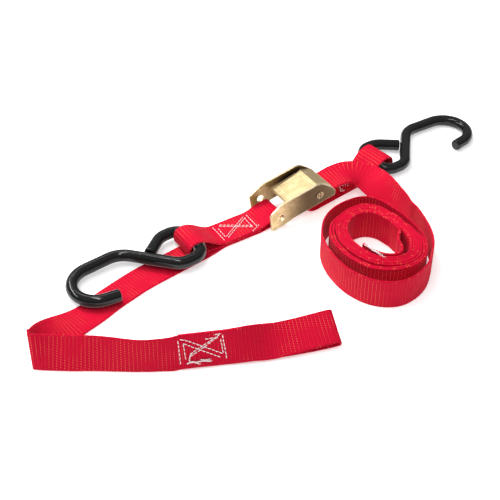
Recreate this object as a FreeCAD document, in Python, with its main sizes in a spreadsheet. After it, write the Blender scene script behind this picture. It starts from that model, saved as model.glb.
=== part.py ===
import FreeCAD, Part
import os
import math
import Sketcher
from FreeCAD import Vector, Placement, Rotation

# Cam-buckle tie-down laid out on a flat surface.
# +Z up, origin at the centre of the footprint, on the resting surface.
# X runs along the loaded strap, from the short strap's hook to the long strap's hook.

os.makedirs("parts", exist_ok=True)
doc = FreeCAD.newDocument("cam_buckle_tie_down")

# ------------------------------------------------------------------ driving dimensions
sheet = doc.addObject("Spreadsheet::Sheet", "Dims")
DIMS = [
    ("webbing_width", 25.4), ("webbing_thickness", 1.6),
    ("frame_outer_width", 32.5), ("frame_inner_width", 28.9),
    ("side_hole_radius", 3.0), ("pivot_hole_radius", 2.51),
    ("lever_hole_radius", 2.55), ("pin_radius", 2.5), ("pin_head_radius", 3.1),
    ("lever_pad_width", 25.0), ("lever_inner_width", 21.4), ("lever_flange_width", 28.2),
    ("lever_emboss_width", 20.0), ("edge_fillet", 0.35),
    ("spring_wire", 0.9), ("spring_radius", 3.2), ("spring_pitch", 1.1), ("spring_turns", 5.5),
    ("hook_core_radius", 3.99), ("hook_bore_radius", 4.0), ("hook_coat_radius", 4.8),
    ("hook_cap", 0.8), ("hook_end_fillet", 1.3),
    ("thread_width", 0.8), ("thread_height", 0.3),
    ("buckle_tilt", 10.0), ("buckle_x", 28.2), ("buckle_z", 0.2),
    ("hook_one_x", -34.0), ("hook_one_z", 8.1), ("hook_one_pitch", 0.88), ("hook_one_yaw", 1.0),
    ("hook_two_x", 147.0), ("hook_two_y", 10.6), ("hook_two_z", 6.6),
    ("hook_two_pitch", 0.95), ("hook_two_yaw", 2.0),
    ("load_yaw", 7.3), ("shift_x", -31.003), ("shift_y", 56.884),
]
row = 1
for alias, value in DIMS:
    sheet.set("A%d" % row, alias)
    sheet.set("B%d" % row, repr(float(value)))
    sheet.setAlias("B%d" % row, alias)
    row += 1
doc.recompute()


def dim(alias):
    return float(sheet.get(alias))


WW = dim("webbing_width")
WT = dim("webbing_thickness")
SHIFT = Vector(dim("shift_x"), dim("shift_y"), 0)
bodies = []


# ------------------------------------------------------------------ helpers
def new_body(name):
    body = doc.addObject("PartDesign::Body", name)
    body.Label = name
    bodies.append(body)
    return body


def plane_of(body, role):
    for feature in body.Origin.OriginFeatures:
        if feature.Role == role:
            return feature
    raise RuntimeError("no origin plane " + role)


def new_sketch(body, name, role, offset=None):
    sketch = body.newObject("Sketcher::SketchObject", name)
    sketch.AttachmentSupport = [(plane_of(body, role), "")]
    sketch.MapMode = "FlatFace"
    if offset is not None:
        sketch.AttachmentOffset = offset
    return sketch


def add_polygon(sketch, points):
    first = sketch.GeometryCount
    n = len(points)
    for i in range(n):
        a = points[i]
        b = points[(i + 1) % n]
        sketch.addGeometry(Part.LineSegment(Vector(a[0], a[1], 0), Vector(b[0], b[1], 0)), False)
    for i in range(n):
        sketch.addConstraint(Sketcher.Constraint("Coincident", first + i, 2, first + (i + 1) % n, 1))


def add_circle(sketch, x, y, alias):
    gid = sketch.addGeometry(Part.Circle(Vector(x, y, 0), Vector(0, 0, 1), dim(alias)), False)
    cid = sketch.addConstraint(Sketcher.Constraint("Radius", gid, dim(alias)))
    sketch.setExpression("Constraints[%d]" % cid, "Dims." + alias)


def pad(body, sketch, name, length, midplane=True):
    feature = body.newObject("PartDesign::Pad", name)
    feature.Profile = sketch
    feature.Midplane = midplane
    feature.setExpression("Length", length)
    doc.recompute()
    return feature


def pocket(body, sketch, name, length, midplane=True, reverse=False):
    before = body.Shape.Volume
    feature = body.newObject("PartDesign::Pocket", name)
    feature.Profile = sketch
    feature.Midplane = midplane
    feature.Reversed = reverse
    feature.setExpression("Length", length)
    doc.recompute()
    if body.Shape.Volume > before - 1e-3:
        raise RuntimeError("%s cuts nothing" % feature.Name)
    return feature


def place(body, x, y, z, rotation=None):
    # x and y may be sheet expressions; the footprint shift is added here
    body.Placement = Placement(Vector(0, 0, 0), rotation if rotation else Rotation())
    body.setExpression("Placement.Base.x", "%s + Dims.shift_x" % x)
    body.setExpression("Placement.Base.y", "%s + Dims.shift_y" % y)
    body.setExpression("Placement.Base.z", "%s" % z)


def fillet_edges(body, name, test, radius_alias):
    doc.recompute()
    base = body.Tip
    names = []
    for i, edge in enumerate(base.Shape.Edges):
        if test(edge):
            names.append("Edge%d" % (i + 1))
    feature = body.newObject("PartDesign::Fillet", name)
    feature.Base = (base, names)
    feature.setExpression("Radius", "Dims." + radius_alias)
    doc.recompute()
    if "Invalid" in feature.State or "Error" in feature.State or not body.Shape.isValid():
        raise RuntimeError("fillet failed on " + body.Name)
    return feature


def solid_feature(name, shape):
    obj = doc.addObject("Part::Feature", name)
    obj.Label = name
    obj.Shape = shape
    obj.Placement = Placement(SHIFT, Rotation()).multiply(shape.Placement)
    bodies.append(obj)
    return obj


def quad(a, b, c, d):
    return [Part.Face(Part.makePolygon([a, b, c, a])), Part.Face(Part.makePolygon([a, c, d, a]))]


def ribbon(stations, other_diagonal=False):
    # stations: four corners each, in the same order round the webbing's section; a layer that
    # runs back behind another takes the other diagonal, so that the two twist alike
    faces = []
    for s0, s1 in zip(stations[:-1], stations[1:]):
        for k in range(4):
            j = (k + 1) % 4
            if other_diagonal:
                faces += quad(s0[j], s1[j], s1[k], s0[k])
            else:
                faces += quad(s0[k], s0[j], s1[j], s1[k])
    faces += quad(*stations[0])
    faces += quad(*stations[-1])
    shell = Part.makeShell(faces)
    shell.sewShape()
    solid = Part.makeSolid(Part.Shell(shell.Faces))
    if solid.Volume < 0:
        solid.reverse()
    solid.fix(1e-6, 1e-6, 1e-6)
    return solid


def unit(v):
    return Vector(v).normalize()


def slerp(a, b, f):
    a = unit(a)
    b = unit(b)
    ang = math.acos(max(-1.0, min(1.0, a.dot(b))))
    if ang < 1e-6:
        return a
    return unit(a * (math.sin((1 - f) * ang) / math.sin(ang)) + b * (math.sin(f * ang) / math.sin(ang)))


def raised(corners):
    # a section whose lowest corner would be under the surface stands on it instead
    low = min(c.z for c in corners)
    if low < 0:
        corners = [c + Vector(0, 0, -low) for c in corners]
    return corners


def edge_stations(points, widths, first_normal=None, last_normal=None):
    # points: lower edge on the outer face; widths: unit vectors across the webbing.
    # the webbing's thickness goes towards width x tangent
    out = []
    n = len(points)
    for i in range(n):
        if i == 0:
            t = points[1] - points[0]
        elif i == n - 1:
            t = points[-1] - points[-2]
        else:
            t = unit(points[i + 1] - points[i]) + unit(points[i] - points[i - 1])
        w = unit(widths[i])
        nrm = unit(w.cross(unit(t)))
        if i == 0 and first_normal is not None:
            nrm = unit(first_normal)
        if i == n - 1 and last_normal is not None:
            nrm = unit(last_normal)
        p = points[i]
        out.append(raised([p, p + nrm * WT, p + nrm * WT + w * WW, p + w * WW]))
    return out


def strip_outline(path, half):
    # flat strip of the given half width along a plan path
    left = []
    right = []
    n = len(path)
    for i in range(n):
        if i == 0:
            t = unit(path[1] - path[0])
            scale = 1.0
        elif i == n - 1:
            t = unit(path[-1] - path[-2])
            scale = 1.0
        else:
            t0 = unit(path[i] - path[i - 1])
            t1 = unit(path[i + 1] - path[i])
            t = unit(t0 + t1)
            scale = 1.0 / max(0.5, t.dot(t1))
        nrm = Vector(-t.y, t.x, 0)
        left.append(path[i] + nrm * half * scale)
        right.append(path[i] - nrm * half * scale)
    return left + right[::-1]


# ------------------------------------------------------------------ buckle frame
# one stamped steel piece: two side plates, the clamping base between them at one end
# and the anchor bar at the other. Local frame: x along the buckle, z up from its sole.
TILT = Rotation(Vector(0, 1, 0), -dim("buckle_tilt"))


def place_on_buckle(body):
    place(body, "Dims.buckle_x", "0", "Dims.buckle_z", TILT)


def buckle_point(x, z):
    a = math.radians(dim("buckle_tilt"))
    return (dim("buckle_x") + x * math.cos(a) - z * math.sin(a),
            dim("buckle_z") + x * math.sin(a) + z * math.cos(a))


SIDE = [(0.0, 0.6), (0.6, 0.0), (15.5, 0.0), (17.6, 0.35), (19.5, 1.2), (61.6, 1.2), (62.4, 1.9),
        (63.3, 5.2), (61.6, 9.0), (58.5, 12.6), (53.4, 17.9), (50.2, 19.9), (46.0, 20.75),
        (14.5, 20.8), (11.5, 20.3), (6.5, 18.2), (2.2, 16.2), (0.7, 14.6)]
frame = new_body("buckle_frame")
sk = new_sketch(frame, "frame_side_outline", "XZ_Plane")
add_polygon(sk, SIDE)
pad(frame, sk, "frame_blank", "Dims.frame_outer_width")
sk = new_sketch(frame, "frame_inside", "XZ_Plane")
add_polygon(sk, [(-6, -6), (70, -6), (70, 28), (-6, 28)])
add_polygon(sk, [(38.0, 1.2), (61.5, 1.2), (61.5, 3.0), (38.0, 3.0)])
add_polygon(sk, [(3.0, 3.1), (13.0, 3.1), (13.0, 5.0), (3.0, 5.0)])
pocket(frame, sk, "frame_channel", "Dims.frame_inner_width")
sk = new_sketch(frame, "frame_pivot_hole", "XZ_Plane")
add_circle(sk, 48.0, 9.6, "pivot_hole_radius")
pocket(frame, sk, "frame_pivot_bore", "Dims.frame_outer_width + 4")
sk = new_sketch(frame, "frame_side_hole", "XZ_Plane")
add_circle(sk, 10.0, 8.4, "side_hole_radius")
pocket(frame, sk, "frame_side_bore", "Dims.frame_outer_width + 4")


def frame_rim(edge):
    box = edge.BoundBox
    if abs(abs(box.YMin) - dim("frame_outer_width") / 2) > 1e-3 or box.YLength > 1e-3:
        return False
    return edge.Curve.TypeId == "Part::GeomLine"


fillet_edges(frame, "frame_rim_round", frame_rim, "edge_fillet")
place_on_buckle(frame)

# ------------------------------------------------------------------ cam lever
# folded thumb plate, two cheeks and the toothed cam nose that presses on the webbing
lever = new_body("cam_lever")
PX, PZ = 48.0, 9.6


def rel(points):
    return [(PX + x, PZ + z) for x, z in points]


TEETH = [(5.4, -4.35), (5.0, -4.85), (4.45, -4.1), (3.9, -4.85), (3.35, -4.1), (2.8, -4.85),
         (2.25, -4.1), (1.7, -4.85), (1.15, -4.1), (0.6, -4.85)]
outline = [(20.5, 14.6), (49.5, 17.0), (60.8, 10.8)] + rel(
    [(11.93, -0.38), (9.87, 0.75), (8.2, -1.0), (6.8, -2.8)] + TEETH +
    [(-2.6, -3.9), (-6.0, -2.6), (-18.0, 2.6), (-21.0, 3.735), (-27.35, 3.21)])
sk = new_sketch(lever, "lever_outline", "XZ_Plane")
add_polygon(sk, outline)
pad(lever, sk, "lever_blank", "Dims.lever_pad_width")
sk = new_sketch(lever, "lever_inside", "XZ_Plane")
add_polygon(sk, rel([(-30.5, -7.0), (-1.6, -7.0), (-1.6, -4.05), (0.5, -3.9), (3.0, -3.0),
                     (4.6, -1.2), (5.6, 0.6), (6.8, 2.43), (1.10, 5.56), (-30.5, 2.95)]))
pocket(lever, sk, "lever_channel", "Dims.lever_inner_width")
sk = new_sketch(lever, "lever_flange_outline", "XZ_Plane")
add_polygon(sk, [(50.4, 16.5), (60.8, 10.8), (59.93, 9.22), (49.55, 14.9)])
pad(lever, sk, "lever_flange", "Dims.lever_flange_width")
sk = new_sketch(lever, "lever_lip_outline", "XZ_Plane")
add_polygon(sk, [(20.1, 14.2), (20.9, 15.3), (22.0, 15.35), (22.7, 14.75), (23.2, 14.4),
                 (22.9, 12.6), (20.5, 12.2), (19.9, 13.0)])
pad(lever, sk, "lever_lip", "Dims.lever_pad_width")
sk = new_sketch(lever, "lever_emboss_outline", "XZ_Plane")
slope = (17.0 - 14.6) / (49.5 - 20.5)
z25 = 14.6 + slope * 4.5
z47 = 14.6 + slope * 26.0
add_polygon(sk, [(25.0, z25 - 0.3), (47.0, z47 - 0.3), (46.9, z47 + 0.35), (25.1, z25 + 0.35)])
pad(lever, sk, "lever_emboss", "Dims.lever_emboss_width")
sk = new_sketch(lever, "lever_hole", "XZ_Plane")
add_circle(sk, PX, PZ, "lever_hole_radius")
pocket(lever, sk, "lever_bore", "Dims.lever_pad_width + 6")
place_on_buckle(lever)

# ------------------------------------------------------------------ pivot pin
# shouldered rivet through both side plates, heads staked with a star punch
pin = new_body("pivot_pin")
sk = new_sketch(pin, "pin_half_section", "XY_Plane")
hw = dim("frame_outer_width") / 2
r = dim("pin_radius")
rh = dim("pin_head_radius")
half = [(0, -hw - 1.0), (2.3, -hw - 1.0), (rh, -hw - 0.65), (rh, -hw - 0.05), (r, -hw - 0.05),
        (r, hw + 0.05), (rh, hw + 0.05), (rh, hw + 0.65), (2.3, hw + 1.0), (0, hw + 1.0)]
add_polygon(sk, half)
rev = pin.newObject("PartDesign::Revolution", "pin_blank")
rev.Profile = sk
rev.ReferenceAxis = (sk, ["V_Axis"])
rev.Angle = 360
doc.recompute()
star = []
for k in range(12):
    rr = 2.0 if k % 2 == 0 else 0.55
    star.append((rr * math.cos(math.radians(30 * k)), rr * math.sin(math.radians(30 * k))))
sk = new_sketch(pin, "pin_star_near", "XZ_Plane", Placement(Vector(0, 0, hw + 1.1), Rotation()))
add_polygon(sk, star)
pocket(pin, sk, "pin_stake_near", "0.5", midplane=False)
sk = new_sketch(pin, "pin_star_far", "XZ_Plane", Placement(Vector(0, 0, -hw - 1.1), Rotation()))
add_polygon(sk, star)
pocket(pin, sk, "pin_stake_far", "0.5", midplane=False, reverse=True)
px, pz = buckle_point(PX, PZ)
place(pin, repr(px), "0", repr(pz), TILT)

# ------------------------------------------------------------------ torsion spring
# wound round the pivot pin between the lever's cheeks; one leg bears up on the thumb
# plate, the other down on the frame's clamping base side
rs = dim("spring_radius")
rw = dim("spring_wire") / 2
pitch = dim("spring_pitch")
turns = dim("spring_turns")
length = pitch * turns
helix = Part.makeHelix(pitch, length, rs)
centre = helix.Edges[0]
start = centre.valueAt(centre.FirstParameter)
finish = centre.valueAt(centre.LastParameter)
t_start = unit(centre.tangentAt(centre.FirstParameter))
t_finish = unit(centre.tangentAt(centre.LastParameter))
profile = Part.Wire(Part.makeCircle(rw, start, t_start))
coil_shape = Part.Wire(helix.Edges).makePipeShell([profile], True, True)
leg_a = Part.makeCylinder(rw, 9.5, start, t_start * -1)
leg_b = Part.makeCylinder(rw, 6.5, finish, t_finish)
spring_shape = coil_shape.fuse([leg_a, leg_b]).removeSplitter()
spring_shape = spring_shape.Solids[0] if len(spring_shape.Solids) == 1 else spring_shape
# the helix axis becomes the pin's axis; both legs run back under the thumb plate
spring_shape.translate(Vector(0, 0, -length / 2))
to_pin = FreeCAD.Matrix(0, 1, 0, 0, 0, 0, 1, 0, 1, 0, 0, 0, 0, 0, 0, 1)
spring_shape.Placement = Placement(Vector(px, 0, pz), Rotation(Vector(0, 1, 0), 4.0 - dim("buckle_tilt"))).multiply(
    Placement(to_pin)).multiply(spring_shape.Placement)
solid_feature("torsion_spring", spring_shape)


# ------------------------------------------------------------------ webbing, folded in X-Z
def webbing_profile(name, outer, holes=(), yaw=None):
    body = new_body(name)
    sk = new_sketch(body, name + "_path", "XZ_Plane")
    add_polygon(sk, outer)
    for hole in holes:
        add_polygon(sk, hole)
    pad(body, sk, name + "_width", "Dims.webbing_width")
    if yaw is None:
        place(body, "0", "0", "0")
    else:
        place(body, "72", "0", "0", Rotation(Vector(0, 0, 1), yaw))
    return body


T1 = WT
T2 = 2 * WT
T3 = 3 * WT
# three layers sewn together between the hook loop and the buckle's anchor bar
webbing_profile("short_strap_sewn_layers", [(-16, 0), (20, 0), (20, T3), (-16, T3)])
# bight round the anchor bar
webbing_profile("short_strap_anchor_bight", [
    (20, T3), (24.6, 6.1), (29.2, 8.05), (34.5, 9.1), (40.1, 9.95), (42.2, 9.45), (43.2, 7.5), (42.7, 5.2),
    (41.2, 3.95), (31.0, 1.95), (24.0, 0.45), (20, 0),
    (20, T1), (23.8, 2.06), (30.7, 3.55), (40.4, 5.45), (41.2, 6.1), (41.55, 7.3), (41.0, 8.2), (39.9, 8.3),
    (34.8, 7.5), (29.8, 6.5), (25.2, 4.6), (20, T2)])
# bight round the first hook's eye
webbing_profile("short_strap_hook_bight", [
    (-16, T1), (-43.3, T1), (-45.3, 2.4), (-46.2, 4.6), (-46.2, 9.5), (-45.2, 13.2), (-42.2, 16.0),
    (-38.0, 16.9), (-33.5, 16.4), (-28.0, 13.5), (-22.0, 8.4), (-18.6, 5.6), (-16, T3)],
    holes=[[(-17.2, T2), (-43.0, T2), (-44.3, 3.9), (-44.6, 5.6), (-44.6, 9.2), (-43.8, 12.4),
            (-41.4, 14.6), (-38.0, 15.3), (-34.4, 14.9), (-29.2, 12.3), (-23.2, 7.2), (-19.6, 4.2)]])
# the long strap under, round and over the clamping base
gx0, gz0 = buckle_point(38.0, 3.0)
gx1, gz1 = buckle_point(38.0, 4.6)
webbing_profile("long_strap_base_turn", [
    (72, 0), (68.5, 0.65), (65.6, 2.4), (63.3, 5.0), (62.2, 7.4), (62.3, 9.4), (63.3, 10.8), (gx1, gz1),
    (gx0, gz0), (64.3, 9.45), (63.85, 8.7), (63.8, 7.8), (64.6, 5.9), (66.6, 3.7), (69.2, 2.15), (72, T1)])
grip = new_body("long_strap_gripped_run")
sk = new_sketch(grip, "gripped_path", "XZ_Plane")
add_polygon(sk, [(38, 3.0), (62, 3.0), (62, 4.6), (38, 4.6)])
pad(grip, sk, "gripped_width", "Dims.webbing_width")
place_on_buckle(grip)
# sewn end and bight round the second hook's eye
YAW = dim("load_yaw")
webbing_profile("long_strap_sewn_layers", [(31, 0), (61, 0), (61, T2), (31, T2)], yaw=YAW)
webbing_profile("long_strap_hook_bight", [
    (61, 0), (86.2, 0), (88.4, 0.8), (89.4, 3.0), (89.4, 9.0), (88.4, 12.4), (85.6, 14.7), (81.5, 15.5),
    (75.2, 15.0), (69.2, 11.3), (64.9, 6.3), (62.6, 3.8), (61, T2)],
    holes=[[(62.2, T1), (86.0, T1), (87.4, 2.4), (87.8, 4.0), (87.8, 8.6), (87.0, 11.4), (84.8, 13.3),
            (81.5, 13.9), (75.6, 13.4), (70.4, 10.3), (66.2, 5.4), (63.9, 2.7)]], yaw=YAW)


# ------------------------------------------------------------------ webbing lying flat
def flat_body(name, outline_points, height="Dims.webbing_thickness"):
    body = new_body(name)
    sk = new_sketch(body, name + "_plan", "XY_Plane")
    add_polygon(sk, [(p[0], p[1]) for p in outline_points])
    pad(body, sk, name + "_height", height, midplane=False)
    place(body, "0", "0", "0")
    return body


ca = math.cos(math.radians(YAW))
sa = math.sin(math.radians(YAW))
qx, qy = 72 + 31 * ca, 31 * sa
flat_body("long_strap_load_leg", [(72, -WW / 2), (qx + sa * WW / 2, qy - ca * WW / 2),
                                  (qx - sa * WW / 2, qy + ca * WW / 2), (72, WW / 2)])
LEG = [(-16, 0), (-31, -3.5), (-50, -6), (-70, -8.2), (-90, -11), (-105, -14.5), (-120, -18.5), (-135, -23.5)]
leg_path = [Vector(x, y, 0) for x, y in LEG]
leg_out = strip_outline(leg_path, WW / 2)
leg_out[0] = Vector(-16, -WW / 2, 0)
leg_out[-1] = Vector(-16, WW / 2, 0)
flat_body("short_strap_leg", leg_out)

# ------------------------------------------------------------------ webbing turning on edge
# the leg rolls up onto its edge, turns back at the far left and runs along the front
t_end = unit(leg_path[-1] - leg_path[-2])
w0 = Vector(t_end.y, -t_end.x, 0)
near = leg_path[-1] - w0 * (WW / 2)
W_TURN = unit(Vector(.16, .47, .87))
points = []
widths = []
N = 9
for i in range(N + 1):
    f = i / N
    g = f ** 1.6
    x = near.x + (-192.75 - near.x) * f
    y = near.y + (-48.3 - near.y) * f - 1.2 * math.sin(math.pi * f)
    points.append(Vector(x, y, 0))
    widths.append(slerp(w0, W_TURN, g))
stations = edge_stations(points, widths, first_normal=Vector(0, 0, 1))
solid_feature("short_strap_roll_up", ribbon(stations))
join = stations[-1]
# tight turn on edge: the layer's middle line runs round a vertical fold
points = [join[0]]
widths = [W_TURN]
cx, cy, rr = -191.9, -50.9, 3.1
for a in (122, 148, 175, 202, 229):
    points.append(Vector(cx + rr * math.cos(math.radians(a)), cy + rr * math.sin(math.radians(a)), 0))
    widths.append(W_TURN)
stations = edge_stations(points, widths)
stations[0] = join
solid_feature("short_strap_left_turn", ribbon(stations))
join = stations[-1]
# x and y of the lowest line, lean in degrees, shift across the width, gap to the return
# layer and how far that layer sits behind the lowest line
FRONT = [(-187.8, -57.4, 40, 0, 0, 0), (-183.3, -60.8, 38, 0, 0, 0), (-172.0, -68.8, 36, 0, 0, 0),
         (-160.5, -76.4, 31, 0, 0, 0), (-151.5, -82.9, 25, 0, 0, 0), (-142.5, -89.3, 18, 0, 0, 0),
         (-133.3, -95.4, 14, 0, 0, 0), (-123.9, -101.1, 16, 0, 0, 0), (-114.4, -106.6, 22, 0, 0, 0),
         (-110.0, -108.6, 24, 0, 0, 1.62), (-80.0, -121.9, 24, 0, 0, 1.62),
         (-73.7, -124.7, 27, 0, 0.25, 1.62), (-63.3, -129.1, 38, 0.1, 0.6, 1.62),
         (-52.8, -133.4, 50, 0.2, 1.1, 1.5), (-42.1, -137.5, 58, 0.5, 2.1, 1.2),
         (-31.2, -141.3, 62, 1.0, 3.2, 0.8), (-20, -145, 63, 1.6, 4.0, 0.4), (-6.2, -148.9, 62, 2.0, 4.3, 0.2)]
PATCH = (9, 10)
floor_line = [Vector(x, y, 0) for x, y, *_ in FRONT]
outer = []
for i, (x, y, degrees, shift, gap, behind) in enumerate(FRONT):
    a = floor_line[i - 1] if i else floor_line[i]
    b = floor_line[i + 1] if i + 1 < len(FRONT) else floor_line[i]
    if i in PATCH:
        a, b = floor_line[PATCH[0]], floor_line[PATCH[1]]
    t = unit(b - a)
    back = Vector(-t.y, t.x, 0)
    ar = math.radians(degrees)
    w = unit(back * math.sin(ar) + Vector(0, 0, 1) * math.cos(ar))
    if i == 0:
        w = slerp(W_TURN, w, 0.6)
    n = unit(w.cross(t))
    k = min(1.0, max(0.0, (degrees - 20) / 25))
    low = floor_line[i] - n * (WT * k)
    outer.append((low + w * shift - n * gap, low + n * (WT + behind), w, t))


def section(p, w, n):
    return raised([p, p + n * WT, p + n * WT + w * WW, p + w * WW])


stations = [join]
for i, (p, q, w, t) in enumerate(outer):
    stations.append(section(p, w, unit(w.cross(t))))
front_stations = stations
solid_feature("short_strap_front_run", ribbon(stations))
patch_origin = stations[PATCH[0] + 1][0]
patch_u = unit(floor_line[PATCH[1]] - floor_line[PATCH[0]])
patch_w = outer[PATCH[0]][2]
patch_n = unit(patch_w.cross(patch_u))

# end fold and the return layer behind the front run, sewn down at the patch
p_end, q_end, w_last, t_last = outer[-1]
n_last = unit(w_last.cross(t_last))
first = stations[-1]
back_corner = section(q_end, w_last, n_last)
middle0 = (first[0] + first[1]) * 0.5
middle1 = (back_corner[0] + back_corner[1]) * 0.5
ret = [first]
axis_gap = (middle1 - middle0)
half_gap = axis_gap * 0.5
centre = (middle0 + middle1) * 0.5
radius = axis_gap.Length / 2
for a in (-60, -30, 0, 30, 60):
    ar = math.radians(a)
    along = t_last * (radius * 1.15 * math.cos(ar))
    m = centre + half_gap * math.sin(ar) + along
    out_dir = unit(half_gap * (math.sin(ar) / radius) + t_last * math.cos(ar))
    out_dir = unit(out_dir - w_last * out_dir.dot(w_last))
    ret.append(raised([m + out_dir * (WT / 2), m - out_dir * (WT / 2), m - out_dir * (WT / 2) + w_last * WW,
                       m + out_dir * (WT / 2) + w_last * WW]))
for i in range(len(outer) - 1, PATCH[0] - 1, -1):
    p, q, w, t = outer[i]
    n = unit(w.cross(t))
    # the lifts of the two layers are the same where they touch
    s = [q, q + n * WT, q + n * WT + w * WW, q + w * WW]
    front_lift = front_stations[i + 1][0].z - p.z
    low = min(c.z for c in s)
    lift = max(front_lift if i <= PATCH[1] + 1 else 0.0, -low if low < 0 else 0.0)
    s = [c + Vector(0, 0, lift) for c in s]
    ret.append([s[1], s[0], s[3], s[2]])
solid_feature("short_strap_loop_return", ribbon(ret, other_diagonal=True))

# ------------------------------------------------------------------ free tail and coil
TAIL = [((88.6, -12.7, 14.71), (88.6, 12.7, 14.71)),
        ((95.5, -12.7, 15.9), (95.6, 12.7, 16.1)),
        ((102.3, -12.7, 15.9), (104.5, 12.4, 17.6)),
        ((107.5, -12.9, 14.6), (117.5, 9.5, 18.6)),
        ((110.6, -13.4, 12.4), (129.5, 1.2, 18.0)),
        ((113.0, -15.0, 9.8), (136.3, -10.5, 18.0)),
        ((115.4, -19.0, 7.4), (135.7, -20.5, 19.9)),
        ((118.2, -27.5, 4.6), (133.0, -30.5, 22.2)),
        ((121.4, -38.0, 2.2), (130.9, -40.5, 24.2)),
        ((123.6, -50.0, 0.7), (128.6, -51.2, 25.2)),
        ((124.2, -60.5, 0.15), (126.6, -61.0, 25.4)),
        ((123.6, -70.0, 0.0), (123.6, -70.0, 25.4))]
mids = []
ws = []
for a, b in TAIL:
    a = Vector(*a)
    b = Vector(*b)
    ws.append(unit(b - a))
    mids.append((a + b) * 0.5)
stations = []
for i in range(len(mids)):
    if i == 0:
        t = Vector(math.cos(math.radians(10)), 0, math.sin(math.radians(10)))
    elif i == len(mids) - 1:
        t = unit(Vector(-1.6, -9.5, 0))
    else:
        t = unit(mids[i + 1] - mids[i]) + unit(mids[i] - mids[i - 1])
    w = ws[i]
    nrm = unit(unit(t).cross(w))
    m = mids[i]
    if i == len(mids) - 1:
        m = Vector(m.x, m.y, WW / 2)
    hw2 = w * (WW / 2)
    ht = nrm * (WT / 2)
    stations.append([m - hw2 - ht, m - hw2 + ht, m + hw2 + ht, m + hw2 - ht])
low = min(v.z for s in stations for v in s)
for s in stations[1:-1]:
    lift = max(0.0, -min(v.z for v in s))
    for k in range(4):
        s[k] = s[k] + Vector(0, 0, lift)
solid_feature("long_strap_tail", ribbon(stations))
tail_last = stations[-1]

OUTER = [(122.9, -78), (119.6, -90), (114.6, -103.5), (107.6, -115.5), (97.3, -126), (85.4, -134.8), (71.8, -139.4),
         (59.4, -139.6), (48.9, -134.9), (40.2, -125.6), (35.2, -114.3), (33.1, -102.9), (33.3, -91.2),
         (35.4, -78.5), (41.2, -64), (50.4, -52.8), (59.9, -45.9), (70, -42.2), (81.3, -41.0), (91.6, -42.2),
         (99.6, -46.6), (104.8, -56), (107.4, -70), (108.0, -82), (108.0, -94), (107.2, -103)]
path = [(tail_last[0] + tail_last[1]) * 0.5] + [Vector(x, y, 0) for x, y in OUTER]
path[0] = Vector(path[0].x, path[0].y, 0)
out = strip_outline(path, WT / 2)
a0 = Vector(tail_last[0].x, tail_last[0].y, 0)
a1 = Vector(tail_last[1].x, tail_last[1].y, 0)
if (out[0] - a0).Length > (out[0] - a1).Length:
    a0, a1 = a1, a0
out[0] = a0
out[-1] = a1
flat_body("long_strap_outer_turn", out, "Dims.webbing_width")

ROLL = [(103.2, -112.6), (98.4, -120.0), (89.3, -128.6), (79.5, -131.6), (68.5, -130.5), (57.1, -124.0), (49.5, -115), (46.2, -104.5),
        (43.8, -88.0), (46.2, -72.5), (54.3, -59.2), (67.6, -51.6), (80.7, -48.9), (89.7, -50.1), (97.6, -56.7),
        (101.8, -69.0), (103.6, -85.6), (103.6, -100.0)]
HOLE = [(67.6, -65.1), (63.9, -68.3), (61.9, -72.6), (61.0, -80.2), (61.4, -92.2), (63.6, -101.7), (69.3, -109.8),
        (74.9, -113.4), (81.5, -113.2), (87.6, -107.5), (91.6, -97.4), (92.6, -86.9), (92.2, -77.5), (89.9, -68.2),
        (84.3, -62.6), (73.9, -61.6)]
coil = new_body("long_strap_coil")
sk = new_sketch(coil, "coil_plan", "XY_Plane")
add_polygon(sk, ROLL)
add_polygon(sk, HOLE)
pad(coil, sk, "coil_height", "Dims.webbing_width", midplane=False)
place(coil, "0", "0", "0")


# ------------------------------------------------------------------ box stitching
# thread ring and its cross, lying on the outer layer
def stitch_shape(length, width):
    tw = dim("thread_width")
    th = dim("thread_height")
    shapes = []
    corners = [(-length / 2, -width / 2), (length / 2, -width / 2), (length / 2, width / 2), (-length / 2, width / 2)]
    runs = [(0, 1), (1, 2), (2, 3), (3, 0), (0, 2), (1, 3)]
    for i, j in runs:
        a = Vector(corners[i][0], corners[i][1], 0)
        b = Vector(corners[j][0], corners[j][1], 0)
        d = (b - a).Length
        bar = Part.makeBox(d, tw, th, Vector(0, -tw / 2, 0))
        bar.rotate(Vector(0, 0, 0), Vector(0, 0, 1), math.degrees(math.atan2(b.y - a.y, b.x - a.x)))
        bar.translate(a)
        shapes.append(bar)
        if i < 4:
            shapes.append(Part.makeCylinder(tw / 2, th, a))
    shape = shapes[0].fuse(shapes[1:]).removeSplitter()
    return shape.Solids[0] if len(shape.Solids) == 1 else shape


s1 = stitch_shape(32.0, 21.2)
s1.translate(Vector(2.3, 0, T3))
solid_feature("short_strap_box_stitch", s1)
s2 = stitch_shape(30.0, 19.5)
m = patch_origin + patch_u * (floor_line[PATCH[1]] - floor_line[PATCH[0]]).Length * 0.5 + patch_w * (WW / 2)
mat = FreeCAD.Matrix(patch_u.x, patch_w.x, -patch_n.x, m.x,
                     patch_u.y, patch_w.y, -patch_n.y, m.y,
                     patch_u.z, patch_w.z, -patch_n.z, m.z, 0, 0, 0, 1)
s2.Placement = Placement(mat)
solid_feature("loop_box_stitch", s2)
s3 = stitch_shape(26.0, 21.2)
s3.translate(Vector(46, 0, T2))
s3.rotate(Vector(0, 0, 0), Vector(0, 0, 1), YAW)
s3.translate(Vector(72, 0, 0))
solid_feature("long_strap_box_stitch", s3)


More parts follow.
